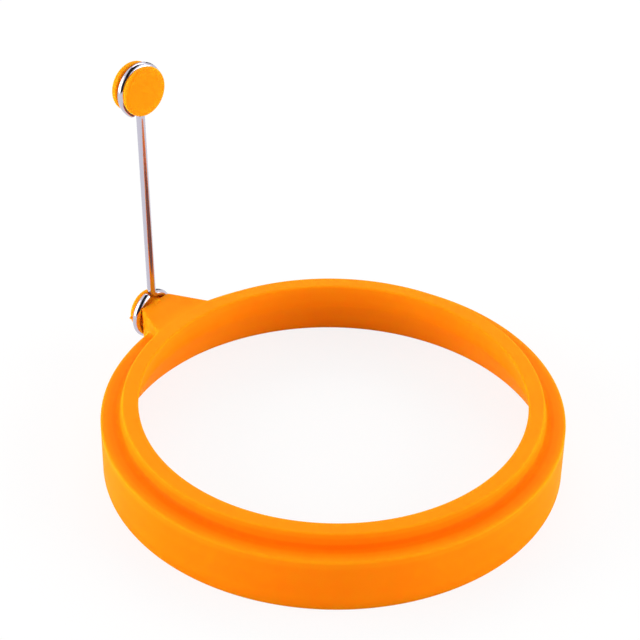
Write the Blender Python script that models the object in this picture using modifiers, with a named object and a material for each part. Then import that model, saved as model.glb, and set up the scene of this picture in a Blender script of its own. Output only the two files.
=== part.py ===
"""Egg ring: a silicone ring with a stepped section, a hinged wire handle and a grooved knob.

Metres, +Z up. The ring stands on z = 0, and its boss points along +X. The origin lies on the floor
under the middle of the whole object's box.
"""
import bpy
import bmesh
from math import acos, asin, cos, pi, radians, sin, sqrt, tan
from mathutils import Matrix, Vector

# Ring section, from the opening outwards
OPENING_RADIUS = 0.04375
RIM_WIDTH = 0.0037
LEDGE_WIDTH = 0.0046
OUTER_DRAFT = 0.00045
BASE_LIP_WIDTH = 0.0021

# Ring heights
RING_HEIGHT = 0.0167
LEDGE_DROP = 0.0035
WALL_BEND_HEIGHT = 0.0096
WALL_BEND_SET_BACK = 0.00175

# Ring roundings
RIM_INNER_ROUND = 0.0011
RIM_OUTER_ROUND = 0.0006
LEDGE_FILLET = 0.0014
LEDGE_EDGE_ROUND = 0.0009
BASE_EDGE_ROUND = 0.0003
WALL_BEND_ROUND = 0.008

# Tab, which carries the boss
TAB_LENGTH = 0.0034
TAB_ROOT_WIDTH = 0.0186
TAB_END_WIDTH = 0.0086
TAB_UNDER_NECK = 0.001
TAB_EDGE_ROUND = 0.0006

# Boss: a neck with a disc, turned in one with the tab
NECK_RADIUS = 0.0036
NECK_PROUD = 0.0002
BOSS_LIP = 0.00135
DISC_THICKNESS = 0.0013
DISC_DOME = 0.0002
DISC_EDGE_ROUND = 0.0005
BOSS_ROOT_DEPTH = 0.0008

# Wire handle
WIRE_RADIUS = 0.001
LOOP_CLEARANCE = 0.0005
GROOVE_CLEARANCE = 0.0003
HANDLE_LENGTH = 0.059
ROOT_BEND_RADIUS = 0.0016
SHAFT_OFFSET = 0.00045
SHAFT_LEAN = radians(1.3)
EYE_OFFSET = 0.0003
EYE_TILT = radians(2)
EYE_TWIST = radians(4)
EYE_BEND_RADIUS = 0.006
BOSS_LOOP_END = radians(341)
EYE_END = radians(332)
END_SPRING = 0.00025
SPRING_TURN = radians(60)

# Knob
KNOB_LIP = 0.0021
KNOB_PLAY = 0.0003

# Counts and small values of the making
RING_STEPS = 96
BUTTON_STEPS = 40
ARC_STEPS = 4
LOOP_STEPS = 34
BEND_STEPS = 5
TILT_STEPS = 2
WIRE_BEVEL_RESOLUTION = 2
MERGE = 0.00001
OVERRUN = 0.002

# Heights and radii that follow
LEDGE_HEIGHT = RING_HEIGHT - LEDGE_DROP
RIM_OUTER_RADIUS = OPENING_RADIUS + RIM_WIDTH
LEDGE_RADIUS = RIM_OUTER_RADIUS + LEDGE_WIDTH
BASE_RADIUS = LEDGE_RADIUS + OUTER_DRAFT
BASE_INNER_RADIUS = BASE_RADIUS - BASE_LIP_WIDTH
WALL_BEND_RADIUS = OPENING_RADIUS + WALL_BEND_SET_BACK
TAB_END = BASE_RADIUS + TAB_LENGTH
TAB_THICKNESS = 2 * NECK_RADIUS + TAB_UNDER_NECK
BOSS_AXIS_HEIGHT = RING_HEIGHT - NECK_RADIUS + NECK_PROUD
HALF_GROOVE = WIRE_RADIUS + GROOVE_CLEARANCE
WIRE_PLANE = TAB_END + HALF_GROOVE
BOSS_DISC_RADIUS = NECK_RADIUS + BOSS_LIP
KNOB_RADIUS = NECK_RADIUS + KNOB_LIP
LOOP_RADIUS = NECK_RADIUS + LOOP_CLEARANCE + WIRE_RADIUS
JOIN_RADIUS = LOOP_RADIUS + ROOT_BEND_RADIUS
BOSS_JOIN_HEIGHT = sqrt(JOIN_RADIUS ** 2 - (ROOT_BEND_RADIUS + SHAFT_OFFSET) ** 2)
EYE_JOIN_HEIGHT = sqrt(JOIN_RADIUS ** 2 - (ROOT_BEND_RADIUS - EYE_OFFSET) ** 2)

# The eye's own directions: outward, up along its tilted plane, and right as seen from the ring
EYE_OUT = Vector((cos(EYE_TWIST), -sin(EYE_TWIST), 0))
EYE_RIGHT = Vector((-sin(EYE_TWIST), -cos(EYE_TWIST), 0))
EYE_UP = sin(EYE_TILT) * EYE_OUT + cos(EYE_TILT) * Vector((0, 0, 1))
KNOB_AXIS = cos(EYE_TILT) * EYE_OUT - sin(EYE_TILT) * Vector((0, 0, 1))

# Shaft's top and the eye's centre, measured from the boss's centre in the wire's plane
BEND_RISE = EYE_BEND_RADIUS * (sin(EYE_TILT) - sin(SHAFT_LEAN))
SHAFT_RISE = HANDLE_LENGTH - BEND_RISE - EYE_JOIN_HEIGHT * cos(EYE_TILT)
SHAFT_TOP = Vector(((SHAFT_RISE - BOSS_JOIN_HEIGHT) * tan(SHAFT_LEAN), -SHAFT_OFFSET, SHAFT_RISE))
BEND_END = (SHAFT_TOP + EYE_BEND_RADIUS * (cos(SHAFT_LEAN) - cos(EYE_TILT)) * EYE_OUT
            + Vector((0, 0, BEND_RISE)))
EYE_CENTRE = BEND_END + EYE_JOIN_HEIGHT * EYE_UP + EYE_OFFSET * EYE_RIGHT

# Knob's centre: the eye lies nearer its inner disc
KNOB_CENTRE = EYE_CENTRE + KNOB_PLAY / 2 * KNOB_AXIS
KNOB_HALF_GROOVE = HALF_GROOVE + KNOB_PLAY / 2
KNOB_HALF_LENGTH = KNOB_HALF_GROOVE + DISC_THICKNESS

# Furthest reach along +X, at the knob's outer edge or the boss's disc, sets the ring's place
KNOB_EDGE_REACH = ((KNOB_HALF_LENGTH - DISC_EDGE_ROUND) * KNOB_AXIS.x
                   + (KNOB_RADIUS - DISC_EDGE_ROUND) * sqrt(1 - KNOB_AXIS.x ** 2) + DISC_EDGE_ROUND)
BOSS_REACH = WIRE_PLANE + HALF_GROOVE + DISC_THICKNESS + DISC_DOME
REACH = max(WIRE_PLANE + KNOB_CENTRE.x + KNOB_EDGE_REACH, BOSS_REACH)
RING_CENTRE_X = (BASE_RADIUS - REACH) / 2


def clear_scene():
    """Empties the scene of objects."""
    for item in list(bpy.data.objects):
        bpy.data.objects.remove(item, do_unlink=True)


def new_collection(name):
    """Makes a collection in the scene."""
    collection = bpy.data.collections.new(name)
    bpy.context.scene.collection.children.link(collection)
    return collection


def new_material(name, colour, roughness, metallic):
    """Makes a Principled BSDF material."""
    material = bpy.data.materials.new(name)
    material.use_nodes = True
    shader = material.node_tree.nodes["Principled BSDF"]
    shader.inputs["Base Color"].default_value = (*colour, 1)
    shader.inputs["Roughness"].default_value = roughness
    shader.inputs["Metallic"].default_value = metallic
    return material


def as_cutter(item):
    """Marks an object as a guide that isn't a part of the ring."""
    item.hide_render = True
    item.display_type = "WIRE"


def rounded(corners, closed):
    """Turns corners of (across, up, radius) into points, with each radius as an arc."""
    points = []
    count = len(corners)
    for index, (across, up, radius) in enumerate(corners):
        corner = Vector((across, up))
        at_end = not closed and index in (0, count - 1)
        if at_end or radius == 0:
            points.append(corner)
            continue
        before = (Vector(corners[index - 1][:2]) - corner).normalized()
        after = (Vector(corners[(index + 1) % count][:2]) - corner).normalized()
        half_angle = acos(max(-1, min(1, before.dot(after)))) / 2
        start = corner + before * (radius / tan(half_angle))
        middle = corner + (before + after).normalized() * (radius / sin(half_angle))
        turn = pi - 2 * half_angle
        sense = 1 if before.cross(after) < 0 else -1
        spoke = start - middle
        for step in range(ARC_STEPS + 1):
            angle = sense * turn * step / ARC_STEPS
            points.append(middle + Matrix.Rotation(angle, 2) @ spoke)
    return points


def turned(name, corners, closed, steps, collection):
    """Makes a turned solid from a profile that runs down its outer side."""
    mesh = bpy.data.meshes.new(name)
    profile = bmesh.new()
    verts = [profile.verts.new((point.x, 0, point.y)) for point in rounded(corners, closed)]
    for first, second in zip(verts, verts[1:]):
        profile.edges.new((first, second))
    if closed:
        profile.edges.new((verts[-1], verts[0]))
    profile.to_mesh(mesh)
    profile.free()
    item = bpy.data.objects.new(name, mesh)
    collection.objects.link(item)
    screw = item.modifiers.new("turn", "SCREW")
    screw.steps = steps
    screw.render_steps = steps
    screw.use_merge_vertices = True
    screw.merge_threshold = MERGE
    screw.use_smooth_shade = True
    return item


def join_to(item, other, operation):
    """Adds a Boolean of another object."""
    boolean = item.modifiers.new(other.name, "BOOLEAN")
    boolean.object = other
    boolean.operation = operation
    boolean.solver = "EXACT"


def even_normals(item):
    """Shades flats flat and roundings round."""
    normals = item.modifiers.new("normals", "WEIGHTED_NORMAL")
    normals.keep_sharp = True


def make_tab(cutters):
    """Wedge-shaped tab: its top outline lies in the rim's plane, and its inner end is trimmed to the wall."""
    half_root = TAB_ROOT_WIDTH / 2
    half_end = TAB_END_WIDTH / 2
    root = sqrt(RIM_OUTER_RADIUS ** 2 - half_root ** 2)
    inner = OPENING_RADIUS - RIM_WIDTH
    outline = [(inner, -half_root), (root, -half_root), (TAB_END, -half_end),
               (TAB_END, half_end), (root, half_root), (inner, half_root)]
    curve = bpy.data.curves.new("tab_outline", "CURVE")
    curve.dimensions = "2D"
    curve.fill_mode = "BOTH"
    spline = curve.splines.new("POLY")
    spline.points.add(len(outline) - 1)
    for point, (across, along) in zip(spline.points, outline):
        point.co = (across, along, 0, 1)
    spline.use_cyclic_u = True
    flat = bpy.data.objects.new("tab_outline", curve)
    cutters.objects.link(flat)
    flat.location.z = RING_HEIGHT
    tab = as_mesh(flat, "tab", cutters)
    body = tab.modifiers.new("body", "SOLIDIFY")
    body.thickness = TAB_THICKNESS
    body.offset = -1
    bevel = tab.modifiers.new("rounded_edges", "BEVEL")
    bevel.width = TAB_EDGE_ROUND
    bevel.segments = ARC_STEPS
    bevel.limit_method = "ANGLE"
    trim = turned("tab_trim", [
        (0, RING_HEIGHT + OVERRUN, 0),
        (OPENING_RADIUS + RIM_WIDTH / 2, RING_HEIGHT + OVERRUN, 0),
        (OPENING_RADIUS + RIM_WIDTH / 2, RING_HEIGHT, 0),
        (BASE_RADIUS - BASE_LIP_WIDTH / 2, 0, 0),
        (0, 0, 0)], False, RING_STEPS, cutters)
    join_to(tab, trim, "DIFFERENCE")
    as_cutter(trim)
    as_cutter(tab)
    return tab


def as_mesh(item, name, collection):
    """Replaces a curve with a welded mesh that Booleans can take."""
    graph = bpy.context.evaluated_depsgraph_get()
    mesh = bpy.data.meshes.new_from_object(item.evaluated_get(graph))
    weld = bmesh.new()
    weld.from_mesh(mesh)
    bmesh.ops.remove_doubles(weld, verts=weld.verts, dist=MERGE)
    weld.to_mesh(mesh)
    weld.free()
    solid = bpy.data.objects.new(name, mesh)
    solid.matrix_world = item.matrix_world
    collection.objects.link(solid)
    bpy.data.objects.remove(item, do_unlink=True)
    return solid


def make_boss(cutters):
    """Boss: the neck starts inside the tab, and the disc keeps the wire's loop on it."""
    disc_face = HALF_GROOVE
    disc_back = HALF_GROOVE + DISC_THICKNESS
    root = -HALF_GROOVE - BOSS_ROOT_DEPTH
    boss = turned("boss", [
        (0, disc_back + DISC_DOME, 0),
        (BOSS_DISC_RADIUS, disc_back, DISC_EDGE_ROUND),
        (BOSS_DISC_RADIUS, disc_face, DISC_EDGE_ROUND),
        (NECK_RADIUS, disc_face, 0),
        (NECK_RADIUS, root, 0),
        (0, root, 0)], False, BUTTON_STEPS, cutters)
    boss.rotation_euler.y = pi / 2
    boss.location = (WIRE_PLANE, 0, BOSS_AXIS_HEIGHT)
    as_cutter(boss)
    return boss


def make_ring(collection, cutters, silicone):
    """Egg ring: the turned ring joined with its tab and boss, as one moulding."""
    ring = turned("egg_ring", [
        (OPENING_RADIUS, RING_HEIGHT, RIM_INNER_ROUND),
        (RIM_OUTER_RADIUS, RING_HEIGHT, RIM_OUTER_ROUND),
        (RIM_OUTER_RADIUS, LEDGE_HEIGHT, LEDGE_FILLET),
        (LEDGE_RADIUS, LEDGE_HEIGHT, LEDGE_EDGE_ROUND),
        (BASE_RADIUS, 0, BASE_EDGE_ROUND),
        (BASE_INNER_RADIUS, 0, BASE_EDGE_ROUND),
        (WALL_BEND_RADIUS, WALL_BEND_HEIGHT, WALL_BEND_ROUND)], True, RING_STEPS, collection)
    pieces = (make_tab(cutters), make_boss(cutters))
    for piece in pieces:
        piece.parent = ring
        join_to(ring, piece, "UNION")
    cutters.objects["tab_trim"].parent = ring
    even_normals(ring)
    ring.location.x = RING_CENTRE_X
    ring.data.materials.append(silicone)
    return ring


def loop_route(shaft_side, end_angle):
    """Wire's centreline from the shaft round one loop, as (right, up) from the loop's centre."""
    route = []
    join_angle = asin((ROOT_BEND_RADIUS + shaft_side) / JOIN_RADIUS)
    join_height = JOIN_RADIUS * cos(join_angle)
    sweep = pi / 2 - join_angle
    for step in range(BEND_STEPS):
        angle = pi + sweep * step / BEND_STEPS
        across = shaft_side + ROOT_BEND_RADIUS * (1 + cos(angle))
        route.append((across, join_height + ROOT_BEND_RADIUS * sin(angle)))
    for step in range(LOOP_STEPS + 1):
        angle = join_angle + (end_angle - join_angle) * step / LOOP_STEPS
        opened = max(0, 1 - (end_angle - angle) / SPRING_TURN)
        radius = LOOP_RADIUS + END_SPRING * opened ** 2
        route.append((radius * sin(angle), radius * cos(angle)))
    return route


def make_handle(collection, ring, steel):
    """Wire handle: one wire with a shaft, a loop round the boss and a tilted eye round the knob."""
    boss_loop = loop_route(SHAFT_OFFSET, BOSS_LOOP_END)
    points = [Vector((0, -right, up)) for right, up in reversed(boss_loop)]
    for step in range(TILT_STEPS):
        angle = SHAFT_LEAN + (EYE_TILT - SHAFT_LEAN) * step / TILT_STEPS
        outward = EYE_BEND_RADIUS * (cos(SHAFT_LEAN) - cos(angle)) * EYE_OUT
        rise = EYE_BEND_RADIUS * (sin(angle) - sin(SHAFT_LEAN))
        points.append(SHAFT_TOP + outward + Vector((0, 0, rise)))
    eye = loop_route(-EYE_OFFSET, EYE_END)
    points += [EYE_CENTRE + right * EYE_RIGHT - up * EYE_UP for right, up in eye]
    curve = bpy.data.curves.new("wire_handle", "CURVE")
    curve.dimensions = "3D"
    curve.bevel_depth = WIRE_RADIUS
    curve.bevel_resolution = WIRE_BEVEL_RESOLUTION
    curve.use_fill_caps = True
    spline = curve.splines.new("POLY")
    spline.points.add(len(points) - 1)
    for point, place in zip(spline.points, points):
        point.co = (*place, 1)
    spline.use_smooth = True
    handle = bpy.data.objects.new("wire_handle", curve)
    collection.objects.link(handle)
    handle.parent = ring
    handle.location = (WIRE_PLANE, 0, BOSS_AXIS_HEIGHT)
    curve.materials.append(steel)
    return handle


def make_knob(collection, handle, silicone):
    """Knob: two discs on a neck, which the eye of the wire runs round."""
    knob = turned("knob", [
        (0, KNOB_HALF_LENGTH + DISC_DOME, 0),
        (KNOB_RADIUS, KNOB_HALF_LENGTH, DISC_EDGE_ROUND),
        (KNOB_RADIUS, KNOB_HALF_GROOVE, DISC_EDGE_ROUND),
        (NECK_RADIUS, KNOB_HALF_GROOVE, 0),
        (NECK_RADIUS, -KNOB_HALF_GROOVE, 0),
        (KNOB_RADIUS, -KNOB_HALF_GROOVE, DISC_EDGE_ROUND),
        (KNOB_RADIUS, -KNOB_HALF_LENGTH, DISC_EDGE_ROUND),
        (0, -KNOB_HALF_LENGTH - DISC_DOME, 0)], False, BUTTON_STEPS, collection)
    even_normals(knob)
    knob.parent = handle
    knob.location = KNOB_CENTRE
    knob.rotation_mode = "QUATERNION"
    knob.rotation_quaternion = KNOB_AXIS.to_track_quat("Z", "Y")
    knob.data.materials.append(silicone)
    return knob


def main():
    """Builds the egg ring."""
    clear_scene()
    parts = new_collection("egg_ring")
    cutters = new_collection("cutters")
    silicone = new_material("orange_silicone", (0.95, 0.24, 0.008), 0.45, 0)
    steel = new_material("polished_steel", (0.62, 0.6, 0.62), 0.15, 1)
    ring = make_ring(parts, cutters, silicone)
    handle = make_handle(parts, ring, steel)
    make_knob(parts, handle, silicone)


main()
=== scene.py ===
import bpy
import bmesh
from math import asin, atan2, cos, hypot, pi, radians, sin, sqrt, tan
from mathutils import Matrix, Vector


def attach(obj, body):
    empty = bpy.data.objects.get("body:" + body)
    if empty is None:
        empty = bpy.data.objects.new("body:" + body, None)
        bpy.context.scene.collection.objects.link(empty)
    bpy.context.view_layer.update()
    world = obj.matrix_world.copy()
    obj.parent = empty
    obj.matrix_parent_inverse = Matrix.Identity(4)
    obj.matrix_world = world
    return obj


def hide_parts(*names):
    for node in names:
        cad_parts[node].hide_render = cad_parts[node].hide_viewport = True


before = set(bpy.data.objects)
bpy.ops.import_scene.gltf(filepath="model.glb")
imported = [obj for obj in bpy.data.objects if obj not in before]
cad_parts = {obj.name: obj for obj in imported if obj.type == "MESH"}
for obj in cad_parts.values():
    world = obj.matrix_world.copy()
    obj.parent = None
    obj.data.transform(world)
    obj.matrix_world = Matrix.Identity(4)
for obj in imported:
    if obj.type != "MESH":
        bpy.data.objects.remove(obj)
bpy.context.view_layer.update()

# Ring moulding: one casting of soft orange silicone, so the ring, its tab and its grooved boss are one
# closed skin here too. A stepped section is turned about the ring's axis, the tab is drawn out of its
# side in steps, and the subdivision rounds every corner the way the mould does.
RING_CENTRE = Vector((-0.00462576, 0, 0))
SECTION_MM = (
    # rim: its inner corner, flat top and outer corner
    (43.6, 16.7), (44.7, 16.7), (45.9, 16.7), (46.8, 16.7), (47.4, 16.7),
    # rim's wall and the ledge
    (47.5, 16.2), (47.7, 15.1), (48.12, 13.5), (49.5, 13.15), (51.3, 13.15), (52.4, 13.1),
    # outer wall down to the base
    (52.41, 12.4), (52.42, 10.8), (52.43, 9.5), (52.44, 8.5), (52.45, 7.5), (52.46, 4.0),
    (52.47, 0.9), (52.48, 0.45), (52.5, 0), (52.05, 0), (51.5, 0), (50.75, 0), (50.2, 0),
    # flared inner wall back up to the rim
    (50.0, 0.35), (49.85, 0.8), (48.0, 4.7), (46.0, 8.53), (45.5, 9.6), (45.2, 10.77),
    (44.55, 13.25), (44.25, 14.4), (43.85, 15.8))
# Rows of the section between which the tab grows out: the rim's outer edge and the tab's foot.
RIM_EDGE, TAB_FOOT = 4, 14
# The ring's columns are counted from the tab's middle to either side. Those about the flank stand closer,
# and those beyond it follow its lean less and less, up to the one where that has faded out.
COLUMNS = 96
COLUMN_DEGREES = (0, 3.9, 7.8, 8.9, 10.0, 11.1, 12.3, 14.2, 17.0)
FLANK_COLUMN, FADE_COLUMN = 4, 14
WELD = 0.000002

# The tab's flanks lean by 23 degrees on the +Y side and 27.5 on the other, and its top rises a little
# towards its end. Half the end's width is given for each column up to the flank.
RIM_RADIUS = 0.0474
TAB_END = 0.0559
TAB_END_WIDTHS_MM = (0, 1.35, 2.75, 3.55, 4.4)
FLANK_SLOPES = tan(radians(23)), tan(radians(27.5))
FLANK_LENGTH_MM = 9.96
FOOT_START_MM = 5.6

# Steps of the drawing out. Each has a place along the flank and a height for every row from the rim's
# edge to the tab's foot.
FLANK_STEPS_MM = (
    ((1.0, 16.75), (1.0, 15.9), (1.1, 15.15), (1.4, 14.4), (2.5, 14.15), (4.4, 14.1),
     (6.3, 13.9), (6.4, 12.4), (6.45, 11.0), (6.5, 9.5), (6.55, 8.5)),
    ((2.0, 16.8), (2.0, 15.95), (2.2, 15.35), (2.7, 14.95), (3.5, 14.75), (5.0, 14.5),
     (7.1, 14.0), (7.3, 12.7), (7.35, 11.2), (7.4, 9.5), (7.45, 8.5)),
    ((8.4, 17.08), (8.4, 16.28), (8.4, 15.55), (8.4, 14.9), (8.4, 14.3), (8.4, 13.7),
     (8.4, 13.0), (8.4, 12.0), (8.4, 10.8), (8.4, 9.3), (8.4, 8.5)),
    ((9.2, 17.12), (9.2, 16.32), (9.2, 15.58), (9.2, 14.9), (9.2, 14.3), (9.2, 13.7),
     (9.2, 13.0), (9.2, 12.0), (9.2, 10.8), (9.2, 9.3), (9.2, 8.5)),
    ((9.96, 17.15), (9.96, 16.35), (9.96, 15.6), (9.96, 14.9), (9.96, 14.3), (9.96, 13.7),
     (9.96, 13.0), (9.96, 12.0), (9.96, 10.8), (9.96, 9.3), (9.96, 8.5)))


def flank_angle(radius, slope):
    """Angle at which a flank of the tab crosses a circle about the ring's axis."""
    reach = TAB_END_WIDTHS_MM[-1] / 1000 + TAB_END * slope
    a, b, c = 1 + slope ** 2, -2 * reach * slope, reach ** 2 - radius ** 2
    x = (-b + sqrt(b * b - 4 * a * c)) / (2 * a)
    return atan2(reach - slope * x, x)


def column_angle(column, radius):
    """Angle of a column of the ring's grid, which leans beside the tab to follow its flank."""
    count = abs(column)
    last = len(COLUMN_DEGREES) - 1
    if count <= last:
        angle = radians(COLUMN_DEGREES[count])
    else:
        close = radians(COLUMN_DEGREES[last])
        angle = close + (pi - close) * ((count - last) / (COLUMNS / 2 - last))
    root = radians(COLUMN_DEGREES[FLANK_COLUMN])
    crossing = min(max(radius, RIM_RADIUS), SECTION_MM[TAB_FOOT][0] / 1000)
    lean = flank_angle(crossing, FLANK_SLOPES[column < 0]) - root
    if count <= FLANK_COLUMN:
        angle *= 1 + lean / root
    elif count < FADE_COLUMN:
        angle += lean * (FADE_COLUMN - count) / (FADE_COLUMN - FLANK_COLUMN)
    return angle if column >= 0 else -angle


moulding = bmesh.new()
corners = [moulding.verts.new((radius / 1000, 0, height / 1000))
           for radius, height in SECTION_MM]
outline = [moulding.edges.new(pair) for pair in zip(corners, corners[1:] + corners[:1])]
bmesh.ops.spin(moulding, geom=corners + outline, cent=(0, 0, 0), axis=(0, 0, 1),
               dvec=(0, 0, 0), angle=2 * pi, steps=COLUMNS, use_merge=True)
bmesh.ops.remove_doubles(moulding, verts=moulding.verts, dist=WELD)

# Each vertex keeps its row in the section and its column round the ring, and takes its column's lean.
row = moulding.verts.layers.int.new("row")
column = moulding.verts.layers.int.new("column")
for vert in moulding.verts:
    radius, angle = hypot(vert.co.x, vert.co.y), atan2(vert.co.y, vert.co.x)
    miss = [hypot(radius * 1000 - r, vert.co.z * 1000 - z) for r, z in SECTION_MM]
    vert[row] = miss.index(min(miss))
    vert[column] = round(angle / (2 * pi / COLUMNS))
    leaning = column_angle(vert[column], radius)
    vert.co.x, vert.co.y = radius * cos(leaning), radius * sin(leaning)

# The faces between the flanks, from the rim's edge to the tab's foot, are drawn out step by step.
cap = [face for face in moulding.faces
       if all(abs(vert[column]) <= FLANK_COLUMN and RIM_EDGE <= vert[row] <= TAB_FOOT
              for vert in face.verts)]
root = {(vert[column], vert[row]): vert.co.copy() for face in cap for vert in face.verts}
for step in FLANK_STEPS_MM:
    drawn = bmesh.ops.extrude_face_region(moulding, geom=cap)
    bmesh.ops.delete(moulding, geom=cap, context="FACES")
    cap = [item for item in drawn["geom"] if isinstance(item, bmesh.types.BMFace)]
    for vert in (item for item in drawn["geom"] if isinstance(item, bmesh.types.BMVert)):
        along, height = step[vert[row] - RIM_EDGE]
        side = vert[column] / max(1, abs(vert[column]))
        end = Vector((TAB_END, side * TAB_END_WIDTHS_MM[abs(vert[column])] / 1000, 0))
        start = root[(vert[column], RIM_EDGE)]
        share = along / FLANK_LENGTH_MM
        if vert[row] == TAB_FOOT:
            start = root[(vert[column], TAB_FOOT)]
            share = (along - FOOT_START_MM) / (FLANK_LENGTH_MM - FOOT_START_MM)
        vert.co = start.lerp(end, share)
        vert.co.z = height / 1000
bmesh.ops.recalc_face_normals(moulding, faces=moulding.faces)


def add_piece(name, data):
    """Puts a new object with this data in the scene. A bmesh is first made into a mesh."""
    if isinstance(data, bmesh.types.BMesh):
        mesh = bpy.data.meshes.new(name)
        data.to_mesh(mesh)
        data.free()
        data = mesh
    item = bpy.data.objects.new(name, data)
    bpy.context.scene.collection.objects.link(item)
    return item


ring = add_piece("ring_moulding", moulding)
skin = ring.modifiers.new("skin", "SUBSURF")
skin.levels = skin.render_levels = 2

# Boss: a short neck and a disc of the same silicone on the tab's end, so that the wire's loop can snap
# over them. It is one piece with the ring, joined here by a union, and the tiny nub on the disc's edge
# is where the moulding's gate was cut off. Profiles are corners of radius, place out and rounding.
BOSS_AXIS = Vector((1, 0, 0))
NECK_HEIGHT_MM = 13.3
NECK_PROFILE_MM = ((0, 54.8, 0), (4.0, 54.8, 0), (4.05, 55.9, 0.3), (3.8, 56.7, 0.4),
                   (3.8, 58.7, 0), (0, 58.7, 0))
DISC_HEIGHT_MM = 13.62
DISC_PROFILE_MM = ((0, 58.25, 0), (4.92, 58.25, 0.35), (4.92, 59.55, 0.55), (0, 59.85, 0))
NUB_MM = (59.0, 5.02, 13.32)
NUB_RADIUS = 0.00033
NUB_STRETCH = (1, 1.4, 1, 1)
ROUNDING_STEPS = 5
TURNED_STEPS = 72
SLIVER = 0.000004


def turned(name, profile_mm, centre, axis):
    """Turns corners of radius, height and rounding about an axis into a closed, smooth solid."""
    solid = bmesh.new()
    corners = [solid.verts.new((radius / 1000, 0, height / 1000))
               for radius, height, _ in profile_mm]
    for pair in zip(corners, corners[1:]):
        solid.edges.new(pair)
    for corner, (_, _, rounding) in zip(corners, profile_mm):
        if rounding:
            bmesh.ops.bevel(solid, geom=[corner], offset=rounding / 1000, affect="VERTICES",
                            segments=ROUNDING_STEPS, profile=0.5, material=-1)
    bmesh.ops.spin(solid, geom=solid.verts[:] + solid.edges[:], cent=(0, 0, 0), axis=(0, 0, 1),
                   dvec=(0, 0, 0), angle=2 * pi, steps=TURNED_STEPS, use_merge=True)
    bmesh.ops.remove_doubles(solid, verts=solid.verts, dist=WELD)
    bmesh.ops.recalc_face_normals(solid, faces=solid.faces)
    place = Matrix.Translation(centre) @ axis.to_track_quat("Z", "Y").to_matrix().to_4x4()
    bmesh.ops.transform(solid, matrix=place, verts=solid.verts)
    for face in solid.faces:
        face.smooth = True
    return add_piece(name, solid)


neck = turned("neck", NECK_PROFILE_MM, Vector((0, 0, NECK_HEIGHT_MM / 1000)), BOSS_AXIS)
disc = turned("disc", DISC_PROFILE_MM, Vector((0, 0, DISC_HEIGHT_MM / 1000)), BOSS_AXIS)
bead = bmesh.new()
bmesh.ops.create_icosphere(bead, subdivisions=3, radius=NUB_RADIUS)
nub_place = Matrix.Translation(Vector(NUB_MM) / 1000) @ Matrix.Diagonal(NUB_STRETCH)
bmesh.ops.transform(bead, matrix=nub_place, verts=bead.verts)
nub = add_piece("nub", bead)
for part in (neck, disc, nub):
    union = ring.modifiers.new(part.name, "BOOLEAN")
    union.operation = "UNION"
    union.solver = "EXACT"
    union.object = part
graph = bpy.context.evaluated_depsgraph_get()
ring_mesh = bpy.data.meshes.new_from_object(ring.evaluated_get(graph))
ring.modifiers.clear()
ring.data = ring_mesh
for part in (neck, disc, nub):
    bpy.data.objects.remove(part)

# The union leaves slivers along its seams, which are cleaned away.
seam = bmesh.new()
seam.from_mesh(ring_mesh)
bmesh.ops.remove_doubles(seam, verts=seam.verts, dist=WELD)
bmesh.ops.triangulate(seam, faces=[face for face in seam.faces if len(face.verts) > 4])
bmesh.ops.dissolve_degenerate(seam, edges=seam.edges, dist=SLIVER)
for face in seam.faces:
    face.smooth = True
seam.to_mesh(ring_mesh)
seam.free()

# Painted shade and highlight: the skin is painted a deeper orange in the crease under the rim's wall and
# on the outer wall, where shade falls, and paler on the rim's and the ledge's edges as painted
# highlights. Each point of the skin keeps that as a painted shading from 0, deep, to 1, pale, blended
# from the nearest places below.
PAINTED_SHADING_BANDS_MM = (
    # radius, height, painted shading
    (45.6, 16.7, 0.62), (46.6, 16.7, 0.62), (47.25, 16.6, 0.7), (47.5, 16.1, 0.54),
    (47.65, 14.9, 0.34), (48.15, 13.5, 0.07), (49.0, 13.2, 0.18), (50.2, 13.2, 0.42),
    (51.4, 13.1, 0.6), (52.1, 12.9, 0.74), (52.26, 12.2, 0.5), (52.3, 10.5, 0.36),
    (52.35, 6.0, 0.36), (52.4, 1.0, 0.36), (51.4, 0.0, 0.43), (50.0, 0.8, 0.66),
    (48.3, 3.5, 0.62), (46.1, 8.0, 0.52), (44.5, 13.2, 0.58), (43.8, 15.8, 0.66))
BLEND_FLOOR = 0.02
TAB_START_MM = 52.6
DISC_START = 0.058
TAB_TONE, DISC_PAINTED_LIGHT = 0.55, 0.8
painted_shading = ring_mesh.attributes.new("painted_shading", "FLOAT", "POINT")
for vert, value in zip(ring_mesh.vertices, painted_shading.data):
    radius, height = hypot(vert.co.x, vert.co.y) * 1000, vert.co.z * 1000
    weights = [1 / (BLEND_FLOOR + (radius - r) ** 2 + (height - z) ** 2) ** 2
               for r, z, _ in PAINTED_SHADING_BANDS_MM]
    value.value = sum(w * band[2] for w, band in zip(weights, PAINTED_SHADING_BANDS_MM)) / sum(weights)
    # The tab and the neck in its shade take one flat level, and the disc is painted paler still, as
    # painted light against the shade in its groove.
    if vert.co.x > RIM_RADIUS and radius > TAB_START_MM:
        value.value = TAB_TONE if vert.co.x < DISC_START else DISC_PAINTED_LIGHT
ring_mesh.transform(Matrix.Translation(RING_CENTRE))
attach(ring, "ring")
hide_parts("egg_ring")


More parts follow.
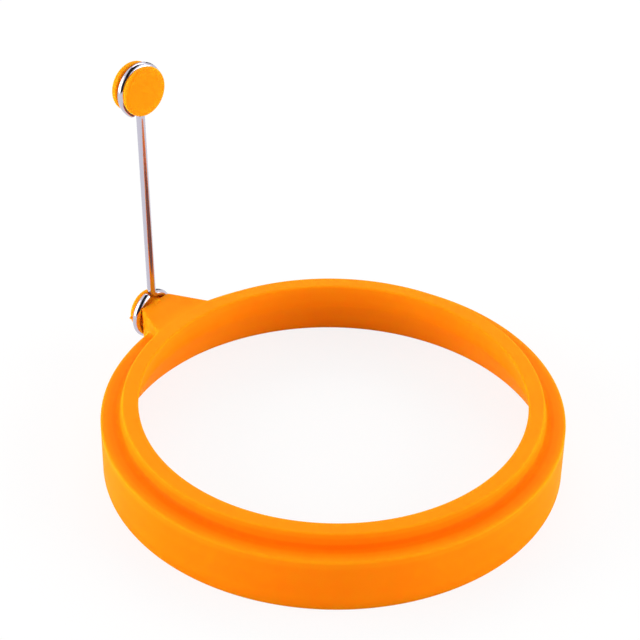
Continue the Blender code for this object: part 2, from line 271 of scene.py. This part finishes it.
class Channel:
    """One output of a material's nodes, used in plain arithmetic."""

    def __init__(self, tree, socket=None):
        self.tree, self.socket = tree, socket

    def node(self, kind, settings, values, output=0):
        """Adds a node: its settings first, then the values or links of its sockets."""
        item = self.tree.nodes.new(kind)
        for name, setting in settings.items():
            setattr(item, name, setting)
        for name, value in values.items():
            if isinstance(value, Channel):
                self.tree.links.new(value.socket, item.inputs[name])
            else:
                item.inputs[name].default_value = value
        return Channel(self.tree, item.outputs[output])

    def __add__(self, other):
        return self.node("ShaderNodeMath", {"operation": "ADD"}, {0: self, 1: other})

    def __sub__(self, other):
        return self.node("ShaderNodeMath", {"operation": "SUBTRACT"}, {0: self, 1: other})

    def __rsub__(self, other):
        return self.node("ShaderNodeMath", {"operation": "SUBTRACT"}, {0: other, 1: self})

    def __mul__(self, other):
        return self.node("ShaderNodeMath", {"operation": "MULTIPLY"}, {0: self, 1: other})

    __radd__, __rmul__ = __add__, __mul__


def new_finish(name):
    """Makes a material and returns it with its shader and a channel to build from."""
    finish = bpy.data.materials.new(name)
    finish.use_nodes = True
    return finish, finish.node_tree.nodes["Principled BSDF"], Channel(finish.node_tree)


# The silicone is satin from the mould and faintly cloudy, with a very fine grain on its skin. The colours
# of a Mix node go in at its sockets 6 and 7, and come out at 2.
# The deep orange is the colour of the painted shade and the pale orange that of the painted highlights;
# the cloud also moves between them at random.
DEEP_ORANGE, PALE_ORANGE = (1.0, 0.15, 0.0, 1), (1.0, 0.36, 0.006, 1)
CLOUD_SCALE, GRAIN_SCALE = 60, 2200
CLOUD_TONE = 0.25
SATIN, CLOUD_DULLS, GRAIN_DULLS = 0.48, 0.1, 0.08
GRAIN_STRENGTH, GRAIN_HEIGHT = 0.12, 0.00004
MIX_COLOURS = {"data_type": "RGBA", "clamp_factor": True}
silicone, shader, start = new_finish("silicone")
place = start.node("ShaderNodeTexCoord", {}, {}, "Object")
cloud = start.node("ShaderNodeTexNoise", {},
                   {"Vector": place, "Scale": CLOUD_SCALE, "Detail": 3, "Roughness": 0.6})
grain = start.node("ShaderNodeTexNoise", {},
                   {"Vector": place, "Scale": GRAIN_SCALE, "Detail": 4, "Roughness": 0.7})
painted_shading = start.node("ShaderNodeAttribute", {"attribute_name": "painted_shading"}, {}, "Fac")
shade = painted_shading + (cloud - 0.5) * CLOUD_TONE
colour = start.node("ShaderNodeMix", MIX_COLOURS, {0: shade, 6: DEEP_ORANGE, 7: PALE_ORANGE}, 2)
satin = SATIN + cloud * CLOUD_DULLS + (grain - 0.5) * GRAIN_DULLS
skin_bump = start.node("ShaderNodeBump", {}, {"Strength": GRAIN_STRENGTH,
                                              "Distance": GRAIN_HEIGHT, "Height": grain})
silicone.node_tree.links.new(colour.socket, shader.inputs["Base Color"])
silicone.node_tree.links.new(satin.socket, shader.inputs["Roughness"])
silicone.node_tree.links.new(skin_bump.socket, shader.inputs["Normal"])
shader.inputs["Specular IOR Level"].default_value = 0.02
shader.inputs["IOR"].default_value = 1.41
shader.inputs["Subsurface Weight"].default_value = 0.6
shader.inputs["Subsurface Radius"].default_value = (1.0, 0.25, 0.05)
shader.inputs["Subsurface Scale"].default_value = 0.004
ring_mesh.materials.clear()
ring_mesh.materials.append(silicone)

# Wire handle: one 2 mm stainless wire. Its lower loop is bent round the boss's neck and turns on it, a
# straight shaft leans a little outwards, and the eye at its top is bent round the knob. Both ends are
# cut off, and spring a little away from their loops.
WIRE_RADIUS = 0.001
END_TAPER = 0.84
LOOP_RADIUS, EYE_RADIUS = 0.0051, 0.00525
LOOP_END, EYE_END = radians(348.5), radians(335)
LOOP_SPRING, EYE_SPRING = 0.00025, 0.0004
SPRING_TURN = radians(60)
BEND_RADIUS = 0.0016
BEND_STEPS, LOOP_STEPS, EYE_BEND_STEPS = 14, 96, 6
BOSS_CENTRE = Vector((0.0525742, 0, 0.0133))
LOOP_DROP, LOOP_BACK = 0.00014, 0.0002
SHAFT_OFFSET = 0.0002
SHAFT_LEAN = radians(1.3)
KNOB_CENTRE = Vector((0.0539772, -0.0007759, 0.0722948))
EYE_TILT = radians(2)
EYE_TWIST = radians(4)
EYE_OUT = Vector((cos(EYE_TWIST), -sin(EYE_TWIST), 0))
EYE_RIGHT = Vector((-sin(EYE_TWIST), -cos(EYE_TWIST), 0))
EYE_UP = sin(EYE_TILT) * EYE_OUT + cos(EYE_TILT) * Vector((0, 0, 1))
KNOB_AXIS = cos(EYE_TILT) * EYE_OUT - sin(EYE_TILT) * Vector((0, 0, 1))
EYE_SHIFT, EYE_DROP = 0.0004, 0.00029
EYE_BEND_RADIUS = 0.006


def bent_loop(loop_radius, shaft_side, end_angle, spring):
    """Centreline from the shaft round one loop, as (right, up) from the loop's centre."""
    reach = loop_radius + BEND_RADIUS
    join_angle = asin((BEND_RADIUS + shaft_side) / reach)
    route = []
    for step in range(BEND_STEPS):
        angle = pi + (pi / 2 - join_angle) * step / BEND_STEPS
        route.append((shaft_side + BEND_RADIUS * (1 + cos(angle)),
                      reach * cos(join_angle) + BEND_RADIUS * sin(angle)))
    for step in range(LOOP_STEPS + 1):
        angle = join_angle + (end_angle - join_angle) * step / LOOP_STEPS
        opened = max(0, 1 - (end_angle - angle) / SPRING_TURN)
        radius = loop_radius + spring * opened ** 2
        route.append((radius * sin(angle), radius * cos(angle)))
    return route


lower = bent_loop(LOOP_RADIUS, SHAFT_OFFSET, LOOP_END, LOOP_SPRING)
route = [BOSS_CENTRE + Vector((-LOOP_BACK, -right, up - LOOP_DROP))
         for right, up in reversed(lower)]
eye_centre = KNOB_CENTRE + EYE_SHIFT * EYE_RIGHT - EYE_DROP * EYE_UP
eye = [eye_centre + right * EYE_RIGHT - up * EYE_UP
       for right, up in bent_loop(EYE_RADIUS, -EYE_SHIFT, EYE_END, EYE_SPRING)]

# The shaft runs straight up to its top, and a gentle bend turns it into the eye's tilt.
rise = EYE_BEND_RADIUS * (sin(EYE_TILT) - sin(SHAFT_LEAN))
run = EYE_BEND_RADIUS * (cos(SHAFT_LEAN) - cos(EYE_TILT))
shaft_top = eye[0] - run * EYE_OUT - Vector((0, 0, rise))
for step in range(EYE_BEND_STEPS):
    angle = SHAFT_LEAN + (EYE_TILT - SHAFT_LEAN) * step / EYE_BEND_STEPS
    route.append(shaft_top + EYE_BEND_RADIUS * (cos(SHAFT_LEAN) - cos(angle)) * EYE_OUT
                 + Vector((0, 0, EYE_BEND_RADIUS * (sin(angle) - sin(SHAFT_LEAN)))))
route += eye
line = bpy.data.curves.new("wire", "CURVE")
line.dimensions = "3D"
line.bevel_depth = WIRE_RADIUS
line.bevel_resolution = 6
line.use_fill_caps = True
spline = line.splines.new("POLY")
spline.points.add(len(route) - 1)
for point, place in zip(spline.points, route):
    point.co = (*place, 1)
spline.points[0].radius = spline.points[-1].radius = END_TAPER
centreline = add_piece("wire", line)
wire_mesh = bpy.data.meshes.new_from_object(centreline)
bpy.data.objects.remove(centreline)
wire = add_piece("wire", wire_mesh)
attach(wire, "handle")
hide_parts("wire_handle")

# The steel is drawn and polished, so fine lines run along the wire.
DARK_STEEL, LIGHT_STEEL = (0.53, 0.51, 0.60, 1), (0.60, 0.58, 0.68, 1)
LINE_STRETCH = (6, 90, 1)
POLISH, LINE_DULLS = 0.08, 0.1
LINE_STRENGTH, LINE_HEIGHT = 0.1, 0.00002
steel, shader, start = new_finish("steel")
along = start.node("ShaderNodeUVMap", {"uv_map": "UVMap"}, {})
streaks = start.node("ShaderNodeMapping", {}, {"Vector": along, "Scale": LINE_STRETCH})
lines = start.node("ShaderNodeTexNoise", {},
                   {"Vector": streaks, "Scale": 1, "Detail": 4, "Roughness": 0.6})
shine = POLISH + lines * LINE_DULLS
brushed = start.node("ShaderNodeBump", {}, {"Strength": LINE_STRENGTH,
                                            "Distance": LINE_HEIGHT, "Height": lines})
tint = start.node("ShaderNodeMix", MIX_COLOURS, {0: lines, 6: DARK_STEEL, 7: LIGHT_STEEL}, 2)
steel.node_tree.links.new(tint.socket, shader.inputs["Base Color"])
steel.node_tree.links.new(shine.socket, shader.inputs["Roughness"])
steel.node_tree.links.new(brushed.socket, shader.inputs["Normal"])
shader.inputs["Metallic"].default_value = 1
wire_mesh.materials.clear()
wire_mesh.materials.append(steel)

# Knob: a second moulding of the same silicone, two discs on a neck, pressed through the wire's eye and
# free to turn in it. The discs' edges are rounded and painted a little paler as a painted highlight, and
# their faces swell slightly.
KNOB_PROFILE_MM = (
    (0, 2.93, 0), (3.6, 2.87, 0), (5.7, 2.74, 0.7), (5.7, 1.1, 0.35), (3.4, 1.1, 0.2),
    (3.4, -1.2, 0.2), (5.7, -1.2, 0.5), (5.7, -2.74, 0.7), (3.6, -2.87, 0), (0, -2.93, 0))
FACE_TONE, EDGE_PAINTED_HIGHLIGHT = 0.66, 0.2
FACE_RADIUS_MM, EDGE_FADE_MM = 4.6, 1.0
knob = turned("knob_fine", KNOB_PROFILE_MM, KNOB_CENTRE, KNOB_AXIS)
painted_shading = knob.data.attributes.new("painted_shading", "FLOAT", "POINT")
for vert, value in zip(knob.data.vertices, painted_shading.data):
    arm = vert.co - KNOB_CENTRE
    radius = (arm - arm.dot(KNOB_AXIS) * KNOB_AXIS).length * 1000
    edge = max(0, min(1, (radius - FACE_RADIUS_MM) / EDGE_FADE_MM))
    value.value = FACE_TONE + EDGE_PAINTED_HIGHLIGHT * edge
knob.data.materials.append(silicone)
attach(knob, "knob")
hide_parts("knob")

# Stage: a plain sheet of white paper under the ring. The camera and reflections see it as white, and it
# still takes a faint shadow.
PAPER_SIZE = 3
PAPER_GLOW = 0.85
sheet = bmesh.new()
bmesh.ops.create_grid(sheet, x_segments=1, y_segments=1, size=PAPER_SIZE)
sweep = add_piece("sweep", sheet)
paper, shader, start = new_finish("paper")
shader.inputs["Base Color"].default_value = (0.9, 0.9, 0.9, 1)
shader.inputs["Roughness"].default_value = 1
shader.inputs["Specular IOR Level"].default_value = 0


def seen_directly(start):
    """1 for the rays that show the background itself: from the camera, a reflection or a pane."""
    seen = start.node("ShaderNodeLightPath", {}, {}, "Is Camera Ray")
    for name in ("Is Glossy Ray", "Is Transmission Ray"):
        ray = start.node("ShaderNodeLightPath", {}, {}, name)
        seen = start.node("ShaderNodeMath", {"operation": "MAXIMUM"}, {0: seen, 1: ray})
    return seen


glow = start.node("ShaderNodeEmission", {}, {"Color": (1, 1, 1, 1), "Strength": 1.0})
matt = Channel(paper.node_tree, shader.outputs["BSDF"])
surface = start.node("ShaderNodeMixShader", {},
                     {0: seen_directly(start) * PAPER_GLOW, 1: matt, 2: glow})
output = paper.node_tree.nodes["Material Output"]
paper.node_tree.links.new(surface.socket, output.inputs["Surface"])
sweep.data.materials.append(paper)

# Light: a plain white room, with two soft boxes on the left, one on the right and one behind. The room is
# half as bright to the ring itself as to the camera and in reflections.
ROOM_LIGHT = 0.5
BOXES = (
    # name, azimuth, height angle, distance, width, watts
    ("left_box", 42, 16, 0.9, 0.7, 7.0),
    ("low_left_box", 60, 5, 0.9, 0.5, 2.5),
    ("right_box", -148, 14, 0.9, 0.8, 9.0),
    ("back_box", -50.5, 35, 0.9, 0.7, 3.5))
world = bpy.data.worlds.new("room")
bpy.context.scene.world = world
world.use_nodes = True
start = Channel(world.node_tree)
strength = seen_directly(start) * (1 - ROOM_LIGHT) + ROOM_LIGHT
sky = world.node_tree.nodes["Background"]
world.node_tree.links.new(strength.socket, sky.inputs["Strength"])
sky.inputs["Color"].default_value = (1, 1, 1, 1)


def outwards(azimuth, height_angle):
    """Direction from the ring, given in degrees round it from +X and up from the floor."""
    level = cos(radians(height_angle))
    return Vector((level * cos(radians(azimuth)), level * sin(radians(azimuth)),
                   sin(radians(height_angle))))


for name, azimuth, height_angle, distance, width, watts in BOXES:
    lamp = bpy.data.lights.new(name, "AREA")
    lamp.energy = watts
    lamp.size = width
    box = add_piece(name, lamp)
    away = outwards(azimuth, height_angle)
    aim = (-away).to_track_quat("-Z", "Y").to_matrix().to_4x4()
    box.matrix_world = Matrix.Translation(RING_CENTRE + distance * away) @ aim

# Cards: dark ones stand before, behind and over the ring, so that the steel shows crisp dark lines as it
# does in a studio, and a round brown one lies in the opening for the shade there. Only reflections see
# them.
DARK_CARD, BROWN_CARD = (0.02, 0.02, 0.025, 1), (0.28, 0.13, 0.1, 1)
CARDS = (
    # name, colour, size, and its place: azimuth, distance, height and tilt from level
    ("front_card", DARK_CARD, (1.5, 1.3), 129.5, 0.8, 0.7, 90),
    ("back_card", DARK_CARD, (0.75, 0.8), -50.5, 0.8, 0.42, 90),
    ("over_card", DARK_CARD, (1.8, 1.3), 129.5, 0.0, 1.2, 0),
    ("shade_card", BROWN_CARD, (0.096, 0.096), 129.5, 0.0, 0.0004, 0))
for name, tint, size, azimuth, distance, height, tilt in CARDS:
    felt, shader, start = new_finish(name)
    shader.inputs["Base Color"].default_value = tint
    shader.inputs["Roughness"].default_value = 1
    shader.inputs["Specular IOR Level"].default_value = 0
    sheet = bmesh.new()
    if name == "shade_card":
        bmesh.ops.create_circle(sheet, cap_ends=True, segments=96, radius=0.5)
    else:
        bmesh.ops.create_grid(sheet, x_segments=1, y_segments=1, size=0.5)
    place = (Matrix.Translation(RING_CENTRE) @ Matrix.Rotation(radians(azimuth), 4, "Z")
             @ Matrix.Translation((distance, 0, height)) @ Matrix.Rotation(radians(tilt), 4, "Y")
             @ Matrix.Diagonal((*size, 1, 1)))
    bmesh.ops.transform(sheet, matrix=place, verts=sheet.verts)
    card = add_piece(name, sheet)
    card.data.materials.append(felt)
    card.visible_camera = card.visible_diffuse = False
    card.visible_shadow = card.visible_transmission = False

# Camera: stands where the photograph was taken from. The shift puts the ring where it lies in the
# photograph's frame of 640 pixels.
CAMERA_DISTANCE = 0.4596
CAMERA_AZIMUTH, CAMERA_HEIGHT_ANGLE = 129.5, 38.72
CAMERA_ROLL = radians(1.17)
FRAME_PIXELS = 640
SHIFT_PIXELS = (-12.5, 133.5)
camera_data = bpy.data.cameras.new("camera")
camera_data.sensor_width = 36
camera_data.lens = 112.5
camera_data.shift_x = SHIFT_PIXELS[0] / FRAME_PIXELS
camera_data.shift_y = SHIFT_PIXELS[1] / FRAME_PIXELS
camera_data.clip_start = 0.01
camera_data.clip_end = 20
camera = add_piece("camera", camera_data)
away = outwards(CAMERA_AZIMUTH, CAMERA_HEIGHT_ANGLE)
aim = (-away).to_track_quat("-Z", "Y").to_matrix().to_4x4()
camera.matrix_world = (Matrix.Translation(RING_CENTRE + CAMERA_DISTANCE * away) @ aim
                       @ Matrix.Rotation(CAMERA_ROLL, 4, "Z"))
bpy.context.scene.camera = camera
bpy.context.scene.view_settings.view_transform = "Standard"
